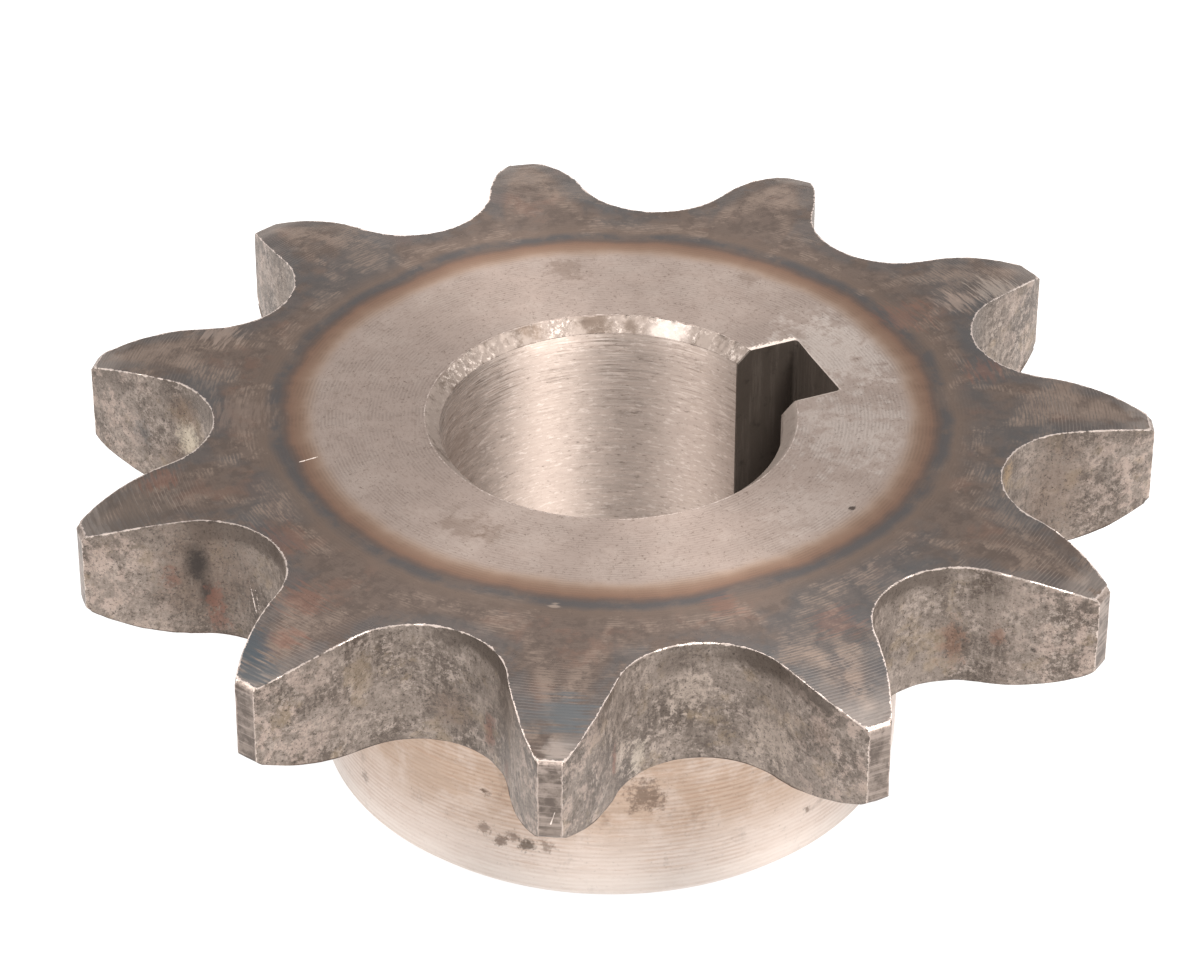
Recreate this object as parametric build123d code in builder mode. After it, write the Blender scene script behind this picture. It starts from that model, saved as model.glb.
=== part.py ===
from build123d import *
import os
from math import acos, atan2, cos, degrees, hypot, pi, radians, sin, sqrt, tan

# Plate-wheel sprocket with a hub on one side, for simple roller chain.
# The origin is on the bore axis, in the middle plane of the teeth, which is the chain line.
# +Z points out of the toothed face, so the hub hangs below. +X runs through the middle of the keyway.
# All sizes are in millimetres and all angles in degrees.

# ---------------------------------------------------------------- driving sizes
# The chain that the teeth carry.
PITCH = 15.875
ROLLER_DIA = 10.16
TOOTH_COUNT = 11

# Form of the tooth gap: a seat that the roller lies in, and a round flank up to the tip.
SEAT_ANGLE = 123.0
SEAT_CLEARANCE = 0.05
FLANK_RADIUS = 19.4
TIP_BREAK = 0.25

# Thickness of the toothed plate, and the turned relief that lets the chain's plates find the teeth.
TOOTH_WIDTH = 7.8
RELIEF_DEPTH = 1.45
RELIEF_RADIUS = 15.9

# Hub.
HUB_DIA = 34.6
LENGTH_THROUGH_BORE = 22.5
HUB_FILLET = 1.0
HUB_CHAMFER = 0.8

# Bore and keyway. The keyway's depth is measured outwards from the bore's wall, along its middle.
BORE_DIA = 20.0
BORE_CHAMFER = 0.8
KEYWAY_WIDTH = 6.0
KEYWAY_DEPTH = 3.35
KEYWAY_CORNER = 0.25
KEYWAY_PAST_GAP = 4.9

# Cutting tools run this far past the metal.
OVERRUN = 1.0

# ---------------------------------------------------------------- sizes that follow
pitch_radius = PITCH / sin(pi / TOOTH_COUNT) / 2
root_radius = pitch_radius - ROLLER_DIA / 2
tip_radius = PITCH * (0.6 + 1 / tan(pi / TOOTH_COUNT)) / 2

plate_top = TOOTH_WIDTH / 2
plate_bottom = -TOOTH_WIDTH / 2
hub_end = plate_top - LENGTH_THROUGH_BORE

hub_radius = HUB_DIA / 2
bore_radius = BORE_DIA / 2
keyway_floor = bore_radius + KEYWAY_DEPTH

# The relief is an arc that leaves the flat side of the plate at a tangent and ends at the tip circle.
relief_start = tip_radius - sqrt(RELIEF_DEPTH * (2 * RELIEF_RADIUS - RELIEF_DEPTH))
tip_top = plate_top - RELIEF_DEPTH
tip_bottom = plate_bottom + RELIEF_DEPTH

# The seat is an arc a little larger than the roller, touching the root circle.
seat_radius = ROLLER_DIA / 2 + SEAT_CLEARANCE
seat_centre = root_radius + seat_radius
half_seat = radians(SEAT_ANGLE / 2)

# The seat and the flank meet at a tangent, so the flank's centre is on the line through the seat's.
flank_reach = seat_radius + FLANK_RADIUS
flank_x = seat_centre - flank_reach * cos(half_seat)
flank_y = flank_reach * sin(half_seat)
flank_distance = hypot(flank_x, flank_y)

# The cutter leaves the tooth beyond the tip circle, where the flank's circle meets this radius.
cutter_radius = tip_radius + OVERRUN
cosine_rule = (cutter_radius**2 - flank_distance**2 - FLANK_RADIUS**2) / (2 * flank_distance * FLANK_RADIUS)
flank_end = degrees(atan2(flank_y, flank_x) - acos(cosine_rule))
flank_start = -SEAT_ANGLE / 2


def circles_of(part, radius):
    """The circular edges of a part that have this radius."""
    return part.edges().filter_by(GeomType.CIRCLE).filter_by(lambda edge: abs(edge.radius - radius) < 0.001)


# One tooth gap, lying on +X: a roller seat with a round flank on either side.
with BuildSketch() as gap:
    with BuildLine():
        CenterArc((seat_centre, 0), seat_radius, 180 - SEAT_ANGLE / 2, SEAT_ANGLE)
        left = CenterArc((flank_x, flank_y), FLANK_RADIUS, flank_start, flank_end - flank_start)
        right = CenterArc((flank_x, -flank_y), FLANK_RADIUS, -flank_start, flank_start - flank_end)
        ThreePointArc(left @ 1, (cutter_radius, 0), right @ 1)
    make_face()

with BuildPart() as sprocket:
    # Turned blank: half of its section, revolved about the bore axis.
    with BuildSketch(Plane.XZ):
        with BuildLine():
            Line((relief_start, plate_bottom), (hub_radius, plate_bottom))
            Line((hub_radius, plate_bottom), (hub_radius, hub_end))
            Line((hub_radius, hub_end), (bore_radius, hub_end))
            Line((bore_radius, hub_end), (bore_radius, plate_top))
            Line((bore_radius, plate_top), (relief_start, plate_top))
            TangentArc((relief_start, plate_top), (tip_radius, tip_top), tangent=(1, 0))
            Line((tip_radius, tip_top), (tip_radius, tip_bottom))
            TangentArc((relief_start, plate_bottom), (tip_radius, tip_bottom), tangent=(1, 0))
        make_face()
    revolve(axis=Axis.Z)

    # Edges that the lathe breaks or leaves round, while the blank is still plain.
    inner_corner = circles_of(sprocket, hub_radius).sort_by(Axis.Z)[-1]
    fillet(inner_corner, HUB_FILLET)
    outer_corner = circles_of(sprocket, hub_radius).sort_by(Axis.Z)[0]
    chamfer(outer_corner, HUB_CHAMFER)
    chamfer(circles_of(sprocket, bore_radius), BORE_CHAMFER)
    chamfer(circles_of(sprocket, tip_radius), TIP_BREAK)

    # Tooth gaps, hobbed through the plate.
    with BuildSketch(Plane.XY.offset(plate_bottom)):
        with PolarLocations(0, TOOTH_COUNT, start_angle=-KEYWAY_PAST_GAP):
            add(gap.sketch)
    extrude(amount=TOOTH_WIDTH + OVERRUN, mode=Mode.SUBTRACT)

    # Keyway, broached through the whole bore. Its floor corners are round, as the broach leaves them.
    with BuildSketch(Plane.XY.offset(hub_end)):
        with Locations((keyway_floor / 2, 0)):
            slot = Rectangle(keyway_floor, KEYWAY_WIDTH)
        fillet(slot.vertices().group_by(Axis.X)[-1], KEYWAY_CORNER)
    extrude(amount=LENGTH_THROUGH_BORE, mode=Mode.SUBTRACT)

sprocket.part.label = "sprocket"

os.makedirs("parts", exist_ok=True)
export_step(sprocket.part, "parts/sprocket.step")
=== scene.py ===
"""Looks of a worn one-piece chain sprocket on a pale studio floor.

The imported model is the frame: the bore axis is Z, the teeth lie about Z = 0 and the keyway points along +X.
Sizes are in millimetres, as on a drawing, and become metres where a mesh, a light or the camera is made.
"""

import logging
from collections.abc import Mapping, Sequence
from dataclasses import dataclass, field
from enum import Enum
from functools import reduce
from math import acos, asin, atan2, cos, hypot, pi, radians, sin, sqrt, tan
from typing import Any

import bpy
import numpy as np
from mathutils import Matrix, Vector
from numpy.typing import NDArray


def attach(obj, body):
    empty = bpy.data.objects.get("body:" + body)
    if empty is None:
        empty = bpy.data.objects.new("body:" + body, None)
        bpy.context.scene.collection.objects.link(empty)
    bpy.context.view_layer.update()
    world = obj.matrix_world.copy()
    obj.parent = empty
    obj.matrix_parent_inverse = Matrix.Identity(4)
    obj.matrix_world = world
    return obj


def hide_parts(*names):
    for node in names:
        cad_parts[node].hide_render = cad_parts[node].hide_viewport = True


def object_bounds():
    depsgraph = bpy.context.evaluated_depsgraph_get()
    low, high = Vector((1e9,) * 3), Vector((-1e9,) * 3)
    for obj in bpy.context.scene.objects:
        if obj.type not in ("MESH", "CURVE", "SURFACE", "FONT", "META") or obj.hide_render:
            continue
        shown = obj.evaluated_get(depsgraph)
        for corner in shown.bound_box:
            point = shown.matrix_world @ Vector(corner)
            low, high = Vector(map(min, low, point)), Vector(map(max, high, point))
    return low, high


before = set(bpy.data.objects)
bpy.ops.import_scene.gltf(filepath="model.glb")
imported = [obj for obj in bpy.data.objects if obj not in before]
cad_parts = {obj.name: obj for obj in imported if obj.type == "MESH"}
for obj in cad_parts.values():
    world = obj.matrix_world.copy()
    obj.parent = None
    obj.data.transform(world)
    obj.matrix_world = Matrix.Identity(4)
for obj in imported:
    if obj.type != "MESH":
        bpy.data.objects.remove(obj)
CAD_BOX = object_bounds()

Array = NDArray[np.float64]
Socket = bpy.types.NodeSocket
Colour = tuple[float, float, float]
Point = tuple[float, float, float]
Layer = tuple[Socket, float, float, float, Any]
Inputs = Mapping[int | str, Any]

MM = 0.001
FAR = 9.0
NODE = "sprocket"
WHITE = (1.0, 1.0, 1.0)

log = logging.getLogger("sprocket")


# ---------------------------------------------------------------- form


class Finish(Enum):
    """The surfaces of the sprocket that are finished differently."""

    FACE = 0
    FLANK = 1
    LAND = 2
    UNDERSIDE = 3
    HUB = 4
    BORE = 5
    RIM = 6
    KEYWAY = 7


def smooth(share: Array) -> Array:
    """A smooth step from 0 to 1: three times the square less twice the cube."""
    return share * share * (3 - 2 * share)


class Chance:
    """Seeded smooth noise for wear and rough edges, from -1 to 1."""

    def __init__(self, seed: int) -> None:
        """Start the sequence that every later call draws from."""
        self.generator = np.random.default_rng(seed)

    def line(self, turns: Array, knots: int) -> Array:
        """Noise along a closed line.

        Evenly spaced knots hold random values, and a smooth step joins each knot to the next.

        Args:
            turns: Place along the line, where 1 is once round.
            knots: How many knots once round has.

        Returns:
            The noise at each place.
        """
        values = self.generator.uniform(-1, 1, knots)
        at = turns * knots
        low = np.floor(at).astype(int)
        part = smooth(at - low)
        return values[low % knots] * (1 - part) + values[(low + 1) % knots] * part

    def sheet(self, turns: Array, rise: Array, knots: int, rows: int) -> Array:
        """Noise over a closed band.

        The knots stand on a grid, and a smooth step joins them both along the band and across it.

        Args:
            turns: Place along the band, where 1 is once round.
            rise: Place across the band, from 0 to 1.
            knots: How many knots once round has.
            rows: How many knots the band has across.

        Returns:
            The noise at each place.
        """
        values = self.generator.uniform(-1, 1, (rows + 2, knots))
        turns, rise = np.broadcast_arrays(turns, rise)
        at, up = turns * knots, np.clip(rise, 0, 1) * rows
        column, row = np.floor(at).astype(int), np.floor(up).astype(int)
        part, share = smooth(at - column), smooth(up - row)
        left, right = column % knots, (column + 1) % knots
        low = values[row, left] * (1 - part) + values[row, right] * part
        high = values[row + 1, left] * (1 - part) + values[row + 1, right] * part
        return low * (1 - share) + high * share


@dataclass
class Outline:
    """The plan outline of the teeth, counter-clockwise, as one value for each column of the mesh."""

    radius: Array
    angle: Array
    normal: Array
    slant: Array
    turns: Array
    to_corner: Array
    on_land: NDArray[np.bool_]

    def distance(self, x: Array, y: Array) -> Array:
        """Shortest distance from points to the outline's own points.

        Args:
            x: First coordinates, in rows.
            y: Second coordinates, in rows.

        Returns:
            The distances, in the same rows.
        """
        own_x, own_y = self.radius * np.cos(self.angle), self.radius * np.sin(self.angle)
        rows = [np.hypot(px[:, None] - own_x, py[:, None] - own_y).min(1) for px, py in zip(x, y)]
        return np.array(rows)


@dataclass(frozen=True)
class ToothForm:
    """Teeth for a roller chain: roller seats that round flanks join to the tip circle."""

    teeth: int = 11
    pitch: float = 15.875
    roller: float = 10.16
    seat_angle: float = radians(123)
    seat_clearance: float = 0.05
    flank_radius: float = 19.4
    first_gap: float = radians(-4.9)
    seat_columns: int = 20
    flank_columns: int = 24
    land_columns: int = 4
    corner_step: float = 0.08

    @property
    def tip_radius(self) -> float:
        """Radius of the tip circle, which the chain's pitch and the number of teeth give."""
        return self.pitch * (0.6 + 1 / tan(pi / self.teeth)) / 2

    def half_pitch(self) -> tuple[Array, Array]:
        """Half of one pitch of the outline, from the middle of a gap to the middle of the next tooth.

        The seat is an arc about a centre on the gap's middle line. The flank is an arc that meets it at a
        tangent, so its centre lies on the line through both. The land is the tip circle. The columns
        crowd a little at the tooth's corner, so that it stays crisp.

        Returns:
            Radius and angle of each point.
        """
        seat = self.roller / 2 + self.seat_clearance
        centre = self.pitch / sin(pi / self.teeth) / 2 - self.roller / 2 + seat
        half = self.seat_angle / 2
        reach = seat + self.flank_radius
        flank_x, flank_y = centre - reach * cos(half), reach * sin(half)
        away = hypot(flank_x, flank_y)
        bend = (self.tip_radius**2 - away**2 - self.flank_radius**2) / (2 * away * self.flank_radius)
        flank_end = atan2(flank_y, flank_x) - acos(bend)

        turn = np.linspace(0, half, self.seat_columns + 1)
        seat_x, seat_y = centre - seat * np.cos(turn), seat * np.sin(turn)
        last = self.corner_step / self.flank_radius
        sweep = np.append(np.linspace(-half, flank_end - last, self.flank_columns)[1:], flank_end)
        sweep_x = flank_x + self.flank_radius * np.cos(sweep)
        sweep_y = flank_y + self.flank_radius * np.sin(sweep)
        corner = atan2(sweep_y[-1], sweep_x[-1])
        land = np.linspace(corner + self.corner_step / self.tip_radius, pi / self.teeth, self.land_columns)
        x, y = np.append(seat_x, sweep_x), np.append(seat_y, sweep_y)
        radius = np.append(np.hypot(x, y), np.full(self.land_columns, self.tip_radius))
        return radius, np.append(np.arctan2(y, x), land)

    def outline(self) -> Outline:
        """The whole outline: the half pitch and its mirror image, repeated round the bore axis.

        Returns:
            The outline, with its normals, its place along the line and its distance to the corners.
        """
        radius, angle = self.half_pitch()
        steps = len(radius) - 1
        whole = 2 * pi / self.teeth
        radius = np.append(radius[:-1], radius[:0:-1])
        angle = np.append(angle[:-1], whole - angle[:0:-1])
        corner = self.seat_columns + self.flank_columns
        place = np.arange(2 * steps)
        land = (place >= corner) & (place < 2 * steps - corner)

        angle = (angle + whole * np.arange(self.teeth)[:, None]).ravel() + self.first_gap
        radius = np.tile(radius, self.teeth)
        x, y = radius * np.cos(angle), radius * np.sin(angle)
        dx, dy = np.roll(x, -1) - np.roll(x, 1), np.roll(y, -1) - np.roll(y, 1)
        normal = np.stack([dy, -dx]) / np.hypot(dx, dy)
        slant = normal[0] * np.cos(angle) + normal[1] * np.sin(angle)
        step = np.hypot(np.roll(x, -1) - x, np.roll(y, -1) - y)
        along = np.cumsum(step) - step
        corners = [n * 2 * steps + at for n in range(self.teeth) for at in (corner, 2 * steps - corner)]
        to_corner = np.abs(along[:, None] - along[corners]).min(1)
        return Outline(radius, angle, normal, slant, along / step.sum(), to_corner, np.tile(land, self.teeth))


@dataclass(frozen=True)
class KeyedBore:
    """The bore with its chamfers and the keyway broached along it."""

    radius: float = 10.0
    chamfer: float = 0.8
    key_width: float = 6.0
    key_depth: float = 3.35
    key_corner: float = 0.25
    corner_columns: int = 3

    def span(self, angle: Array) -> tuple[int, int]:
        """The first column of the keyway, and how many columns it has.

        Args:
            angle: Angle of each column, rising from just under 0.

        Returns:
            The column where its first wall starts, and the number up to where its second wall ends.
        """
        half = asin(self.key_width / 2 / self.radius)
        first = int(np.abs(angle - (2 * pi - half)).argmin())
        last = int(np.abs(angle - half).argmin())
        return first, len(angle) - first + last

    def rings(self, radii: Array, angle: Array) -> Array:
        """Closed lines round the bore and its keyway.

        Each line is an arc of its own radius, broken by the keyway: a wall along X from where the arc
        ends, a quarter round, the floor, a quarter round and the other wall.

        Args:
            radii: The bore's radius in each line.
            angle: Angle of each column.

        Returns:
            The lines' points, as lines by columns by two coordinates.
        """
        first, keyed = self.span(angle)
        radii = radii[:, None]
        half = self.key_width / 2
        start = np.sqrt(radii**2 - half**2)
        reach = self.radius + self.key_depth - self.key_corner
        side = half - self.key_corner
        straight = keyed - 2 * self.corner_columns
        wall_columns = round(straight * self.key_depth / (2 * self.key_depth + self.key_width))
        wall = np.arange(wall_columns) / wall_columns
        turn = np.arange(self.corner_columns) / self.corner_columns * pi / 2
        floor = np.arange(straight - 2 * wall_columns) / (straight - 2 * wall_columns)
        arc = np.arange(len(angle) - keyed) / (len(angle) - keyed)
        sweep = np.arcsin(half / radii)
        sweep = sweep + (2 * pi - 2 * sweep) * arc
        level = np.ones_like(radii)
        x = [
            start + (reach - start) * wall,
            (reach + self.key_corner * np.sin(turn)) * level,
            np.full_like(floor, reach + self.key_corner) * level,
            (reach + self.key_corner * np.cos(turn)) * level,
            reach + (start - reach) * wall,
            radii * np.cos(sweep),
        ]
        y = [
            np.full_like(wall, -half) * level,
            (-side - self.key_corner * np.cos(turn)) * level,
            (-side + 2 * side * floor) * level,
            (side + self.key_corner * np.sin(turn)) * level,
            np.full_like(wall, half) * level,
            radii * np.sin(sweep),
        ]
        points = np.stack([np.concatenate(x, 1), np.concatenate(y, 1)], -1)
        return np.roll(points, first, axis=1)


class Skin:
    """Rings of points, each joined to the next and the last to the first, that make one closed surface."""

    def __init__(self) -> None:
        """Start with no rings."""
        self.points: list[Array] = []
        self.finishes: list[NDArray[np.int32]] = []
        self.marks: dict[str, list[Array]] = {}

    def lay(self, x: Array, y: Array, z: Array, finish: Finish | NDArray[np.int32], **marks: Array) -> None:
        """Add rings.

        Args:
            x: First coordinates, as rings by columns.
            y: Second coordinates.
            z: Third coordinates.
            finish: The finish of the faces that lead to each ring, the same all round or for each column.
            marks: Distances to edges, one for each point.
        """
        x, y, z = np.broadcast_arrays(x, y, z)
        index = finish.value if isinstance(finish, Finish) else finish
        for name in marks:
            if name not in self.marks:
                self.marks[name] = [np.full(len(ring), FAR) for ring in self.points]
        for row in range(len(x)):
            self.points.append(np.stack([x[row], y[row], z[row]], 1))
            self.finishes.append(np.broadcast_to(index, len(x[row])).astype(np.int32))
            for name, rings in self.marks.items():
                value = marks.get(name, np.array(FAR))
                rings.append(np.broadcast_to(value, x.shape)[row])

    @staticmethod
    def strip(first: int, count: int, then: int, next_count: int) -> tuple[Array, Array, Array]:
        """Faces between two rings, whose numbers of columns are the same or differ by two.

        Equal rings are joined by squares. Where one ring has twice the columns of the other, each of the
        coarse ring's steps takes three triangles.

        Args:
            first: Index of the first ring's first point.
            count: The first ring's columns.
            then: Index of the second ring's first point.
            next_count: The second ring's columns.

        Returns:
            Squares, triangles, and the column of the second ring that each face belongs to.
        """
        low = min(count, next_count)
        here, after = np.arange(low), (np.arange(low) + 1) % low
        if count == next_count:
            squares = np.stack([first + here, then + here, then + after, first + after], 1)
            return squares, np.empty((0, 3), int), here
        middle = 2 * here + 1
        if count > next_count:
            one = np.stack([first + 2 * here, then + here, first + middle], 1)
            two = np.stack([first + middle, then + here, then + after], 1)
            three = np.stack([first + middle, then + after, first + 2 * after], 1)
            return np.empty((0, 4), int), np.concatenate([one, two, three]), np.tile(here, 3)
        one = np.stack([first + here, then + 2 * here, then + middle], 1)
        two = np.stack([first + here, then + middle, first + after], 1)
        three = np.stack([first + after, then + middle, then + 2 * after], 1)
        return np.empty((0, 4), int), np.concatenate([one, two, three]), np.tile(2 * here, 3)

    def build(self, name: str, sharp: float) -> bpy.types.Object:
        """Make the mesh and its object.

        Args:
            name: The object's name.
            sharp: Faces that meet at more than this angle have a hard edge between them.

        Returns:
            The object, at the origin, with the marks as attributes of its points.
        """
        counts = [len(ring) for ring in self.points]
        starts = np.cumsum([0, *counts[:-1]])
        squares, triangles = [], []
        finish_of_squares, finish_of_triangles = [], []
        for ring, count in enumerate(counts):
            after = (ring + 1) % len(counts)
            quads, threes, column = self.strip(int(starts[ring]), count, int(starts[after]), counts[after])
            squares.append(quads)
            triangles.append(threes)
            kind = finish_of_squares if len(quads) else finish_of_triangles
            kind.append(self.finishes[after][column])
        faces = np.concatenate(squares).tolist() + np.concatenate(triangles).tolist()
        mesh = bpy.data.meshes.new(name)
        mesh.from_pydata(np.concatenate(self.points) * MM, [], faces)
        finishes = np.concatenate(finish_of_squares + finish_of_triangles)
        mesh.polygons.foreach_set("material_index", finishes)
        mesh.polygons.foreach_set("use_smooth", np.ones(len(faces), bool))
        mesh.set_sharp_from_angle(angle=sharp)
        for mark, rings in self.marks.items():
            values = np.concatenate(rings).astype(np.float32)
            mesh.attributes.new(mark, "FLOAT", "POINT").data.foreach_set("value", values)
        mesh.update()
        piece = bpy.data.objects.new(name, mesh)
        bpy.context.scene.collection.objects.link(piece)
        return piece


# ---------------------------------------------------------------- paint


def srgb(red: int, green: int, blue: int) -> Colour:
    """A colour as a paint chart gives it, 0 to 255, made linear by the sRGB curve."""
    values = np.array([red, green, blue]) / 255
    return tuple(np.where(values <= 0.04045, values / 12.92, ((values + 0.055) / 1.055) ** 2.4).tolist())


class Paint:
    """A material under construction. Each short call adds nodes and returns their output."""

    def __init__(self, name: str) -> None:
        """Start a material and find the place of a point on the piece, in millimetres.

        Args:
            name: The material's name.
        """
        self.material = bpy.data.materials.new(name)
        self.material.use_nodes = True
        self.tree = self.material.node_tree
        self.shader = self.tree.nodes["Principled BSDF"]
        self.place = self.vector("SCALE", self.add("ShaderNodeTexCoord").outputs["Object"], Scale=1 / MM)
        self.x, self.y, self.z = self.add("ShaderNodeSeparateXYZ", {0: self.place}).outputs
        self.radius = self.vector("LENGTH", self.join(self.x, self.y, 0.0))

    def add(self, kind: str, inputs: Inputs | None = None, **settings: Any) -> bpy.types.Node:
        """Add a node.

        Args:
            kind: The node's type.
            inputs: Values or outputs for its inputs, by name or number.
            settings: Its other settings.

        Returns:
            The node.
        """
        node = self.tree.nodes.new(kind)
        for name, value in settings.items():
            setattr(node, name, value)
        for key, value in (inputs or {}).items():
            self.feed(node.inputs[key], value)
        return node

    def feed(self, socket: Socket, value: Any) -> None:
        """Link an output to an input, or set the input's value. A colour gets its fourth number.

        Args:
            socket: The input.
            value: An output, a number, a vector or a colour.
        """
        if isinstance(value, Socket):
            self.tree.links.new(value, socket)
        elif socket.type == "RGBA" and len(value) == 3:
            socket.default_value = (*value, 1)
        else:
            socket.default_value = value

    def vector(self, operation: str, *values: Any, **named: Any) -> Socket:
        """The result of a vector operation."""
        node = self.add("ShaderNodeVectorMath", {**dict(enumerate(values)), **named}, operation=operation)
        return node.outputs["Value" if operation in ("LENGTH", "DISTANCE", "DOT_PRODUCT") else "Vector"]

    def math(self, operation: str, *values: Any) -> Socket:
        """The result of an operation on numbers."""
        return self.add("ShaderNodeMath", dict(enumerate(values)), operation=operation).outputs[0]

    def join(self, x: Any, y: Any, z: Any) -> Socket:
        """A vector made of three numbers."""
        return self.add("ShaderNodeCombineXYZ", {0: x, 1: y, 2: z}).outputs[0]

    def mark(self, name: str) -> Socket:
        """A distance in millimetres that the mesh carries."""
        return self.add("ShaderNodeAttribute", attribute_name=name).outputs["Fac"]

    def noise(self, scale: float, detail: float, rough: float = 0.55, place: Socket | None = None) -> Socket:
        """Cloudy noise, from 0 to 1.

        Args:
            scale: Clouds in one millimetre.
            detail: How many finer layers it has.
            rough: How strong the finer layers are.
            place: Where to read it, or None for the point itself.

        Returns:
            The noise.
        """
        place = self.place if place is None else place
        inputs = {"Vector": place, "Scale": scale, "Detail": detail, "Roughness": rough}
        return self.add("ShaderNodeTexNoise", inputs).outputs[0]

    def drag(self, around: float, across: float, detail: float = 6) -> Socket:
        """Noise drawn out round the bore axis, as a turning tool or a rubbing chain leaves it.

        It is read at the direction from the axis, which has no seam, and at Z less the radius, which
        changes across the lines on round sides and flat ones alike.

        Args:
            around: Clouds in one radian.
            across: Clouds in one millimetre across the lines.
            detail: How many finer layers it has.

        Returns:
            The noise, from 0 to 1.
        """
        flat = self.vector("SCALE", self.vector("NORMALIZE", self.join(self.x, self.y, 0.0)), Scale=around)
        lift = self.join(0.0, 0.0, self.times(self.math("SUBTRACT", self.z, self.radius), across))
        return self.noise(1.0, detail, 0.65, self.vector("ADD", flat, lift))

    def step(self, value: Any, low: float, high: float, start: float = 0, end: float = 1) -> Socket:
        """A smooth step. Low may be the greater.

        Args:
            value: What the step is read at.
            low: The value where it starts.
            high: The value where it ends.
            start: Its height at low.
            end: Its height at high.

        Returns:
            The height.
        """
        if low > high:
            low, high, start, end = high, low, end, start
        inputs = dict(enumerate((value, low, high, start, end)))
        return self.add("ShaderNodeMapRange", inputs, interpolation_type="SMOOTHSTEP").outputs[0]

    def times(self, *values: Any) -> Socket:
        """The product of several numbers."""
        return reduce(lambda product, value: self.math("MULTIPLY", product, value), values)

    def least(self, first: Any, *others: Any) -> Socket:
        """The least of several numbers."""
        return self.math("MINIMUM", first, self.least(*others)) if others else first

    def centred(self, noise: Socket) -> Socket:
        """Noise moved down by half, so that it lies about 0."""
        return self.math("SUBTRACT", noise, 0.5)

    def mix(self, share: Any, under: Any, over: Any, blend: str = "MIX") -> Socket:
        """One colour laid over another."""
        inputs = {0: share, 6: under, 7: over}
        return self.add("ShaderNodeMix", inputs, data_type="RGBA", blend_type=blend).outputs[2]

    def grooves(self, across: Socket, pitch: float) -> Socket:
        """Grooves that a tool leaves at an even pitch: from 0 up to 1 and down again across each one."""
        return self.math("DIVIDE", self.math("PINGPONG", across, pitch / 2), pitch / 2)

    def torn(self, near: Socket, noise: Socket, depth: float, drop: float, soft: float) -> Socket:
        """A ragged band, 1 near an edge, as wide as noise times depth less a drop, which fades over soft."""
        wide = self.math("MULTIPLY_ADD", noise, depth, -drop)
        return self.step(self.math("SUBTRACT", near, wide), soft, 0.0)

    def coat(self, colour: Any, *layers: Layer) -> Socket:
        """Colours laid one over another, each where its own noise or distance passes a step.

        Args:
            colour: What lies under them.
            layers: For each, the value that it follows, where it starts to show, where it shows most, how
                strongly it shows there, and its colour.

        Returns:
            The colour with the layers on it.
        """
        for value, low, high, strength, over in layers:
            colour = self.mix(self.step(value, low, high, 0, strength), colour, over)
        return colour

    def between(self, share: Any, low: Any, high: Any) -> Socket:
        """A number between two others."""
        return self.add("ShaderNodeMix", {0: share, 2: low, 3: high}, data_type="FLOAT").outputs[0]

    def ramp(self, value: Any, start: float, end: float, stops: Sequence[tuple[float, Colour]]) -> Socket:
        """A colour read from a scale.

        Args:
            value: Where to read it.
            start: The value at the scale's beginning.
            end: The value at its end.
            stops: Values in order, each with its colour.

        Returns:
            The colour.
        """
        share = self.add("ShaderNodeMapRange", dict(enumerate((value, start, end, 0.0, 1.0)))).outputs[0]
        node = self.add("ShaderNodeValToRGB", {0: share})
        elements = node.color_ramp.elements
        for _ in stops[2:]:
            elements.new(0.5)
        for element, (at, colour) in zip(elements, stops):
            element.position = (at - start) / (end - start)
            element.color = (*colour, 1)
        return node.outputs[0]

    def bump(self, height: Socket, depth: float, under: Socket | None = None) -> Socket:
        """Relief too fine for the mesh.

        Args:
            height: From 0, low, to 1, high.
            depth: How far 1 stands above 0, in millimetres.
            under: The relief that this one lies on.

        Returns:
            The bumped normal.
        """
        inputs = {"Height": height, "Distance": depth * MM, "Strength": 1.0}
        if under is not None:
            inputs["Normal"] = under
        return self.add("ShaderNodeBump", inputs).outputs[0]

    def finish(self, **sockets: Any) -> bpy.types.Material:
        """Feed the shader.

        Args:
            sockets: Values or outputs, by the names of the shader's inputs with _ for a space.

        Returns:
            The material.
        """
        for name, value in sockets.items():
            self.feed(self.shader.inputs[name.replace("_", " ")], value)
        return self.material


@dataclass(frozen=True)
class SoftSpot:
    """A ragged, soft-edged spot at a place on the piece. It lays stains, and also painted shade and painted
    sheen.
    """

    place: Point
    size: float
    colour: Colour
    strength: float = 0.8
    tall: float = 1.0
    torn: float = 4.5

    def lay(self, paint: Paint, colour: Socket, fray: Socket) -> Socket:
        """Paint the spot.

        Its strength falls with the distance to its place, which noise lengthens and shortens so that
        its edge is ragged. A tall spot counts distance along Z as less.

        Args:
            paint: The material.
            colour: What lies under it.
            fray: Noise for its edge.

        Returns:
            The colour with the stain on it.
        """
        away = paint.vector("SUBTRACT", paint.place, self.place)
        away = paint.vector("MULTIPLY", away, (1.0, 1.0, 1 / self.tall))
        reach = paint.math("MULTIPLY_ADD", fray, -self.torn * self.size, paint.vector("LENGTH", away))
        share = paint.step(reach, 1.1 * self.size, 0.25 * self.size, 0, self.strength)
        return paint.mix(share, colour, self.colour)


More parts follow.
